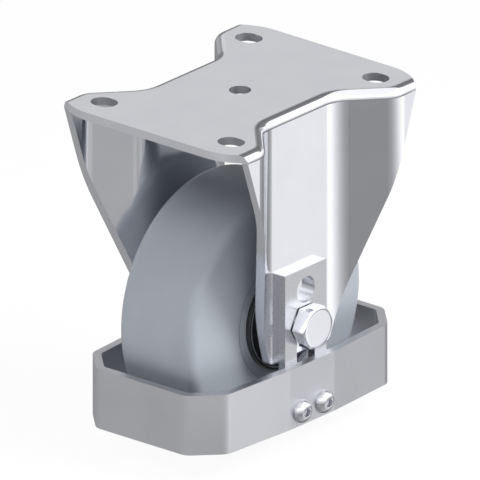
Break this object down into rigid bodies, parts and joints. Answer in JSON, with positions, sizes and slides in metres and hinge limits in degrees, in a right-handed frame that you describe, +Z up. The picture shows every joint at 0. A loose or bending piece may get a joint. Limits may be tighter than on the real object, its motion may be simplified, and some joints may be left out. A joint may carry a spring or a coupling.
{
  "type": "fixed caster",
  "caption": "Rigid plate caster: pressed steel fork with a slotted bow-tie plate, solid grey wheel on ball bearings, through bolt, and an adjustable foot guard band on slotted hangers.",
  "frame": {"origin": "centre of the mounting plate's top face", "axes": "+X along the axle towards the bolt head, +Y the travel direction, +Z up, out of the plate's top face"},
  "size_m": [0.116, 0.1444, 0.17],
  "materials": {
    "bright_steel": "bright zinc plating",
    "satin_steel": "satin zinc plating",
    "wheel_grey": "satin moulded polyamide",
    "black_cap": "smooth black plastic",
    "bearing_steel": "ground steel",
    "ball_steel": "polished steel",
    "cage_steel": "pressed sheet steel",
    "seal_rubber": "black rubber"
  },
  "bodies": {
    "frame": {"fork": "bright_steel", "axle_tube": "bright_steel", "distance_tube": "bright_steel", "spacer_near": "bright_steel", "spacer_far": "bright_steel", "axle_bolt": "bright_steel", "axle_washer": "bright_steel", "axle_nut": "bright_steel", "hanger_near": "satin_steel", "hanger_far": "satin_steel", "foot_guard": "satin_steel", "guard_screws_near": "bright_steel", "guard_screws_far": "bright_steel", "guard_nuts_near": "bright_steel", "guard_nuts_far": "bright_steel", "bearing_near_inner_ring": "bearing_steel", "bearing_far_inner_ring": "bearing_steel"},
    "wheel": {"wheel": "wheel_grey", "dust_cap_near": "black_cap", "dust_cap_far": "black_cap", "bearing_near_outer_ring": "bearing_steel", "bearing_far_outer_ring": "bearing_steel", "bearing_near_seal_outside": "seal_rubber", "bearing_near_seal_inside": "seal_rubber", "bearing_far_seal_outside": "seal_rubber", "bearing_far_seal_inside": "seal_rubber"},
    "near_balls": {"bearing_near_balls": "ball_steel", "bearing_near_cage": "cage_steel"},
    "far_balls": {"bearing_far_balls": "ball_steel", "bearing_far_cage": "cage_steel"}
  },
  "joints": [
    {"name": "wheel_spin", "type": "hinge", "parent": "frame", "child": "wheel", "pos_m": [0, 0, -0.1075], "axis": [1, 0, 0], "continuous": true},
    {"name": "near_balls_roll", "type": "hinge", "parent": "frame", "child": "near_balls", "pos_m": [0, 0, -0.1075], "axis": [1, 0, 0], "continuous": true},
    {"name": "far_balls_roll", "type": "hinge", "parent": "frame", "child": "far_balls", "pos_m": [0, 0, -0.1075], "axis": [1, 0, 0], "continuous": true}
  ],
  "couplings": [
    {"joint": "near_balls_roll", "follows": "wheel_spin", "ratio": 0.6185},
    {"joint": "far_balls_roll", "follows": "wheel_spin", "ratio": 0.6185}
  ]
}
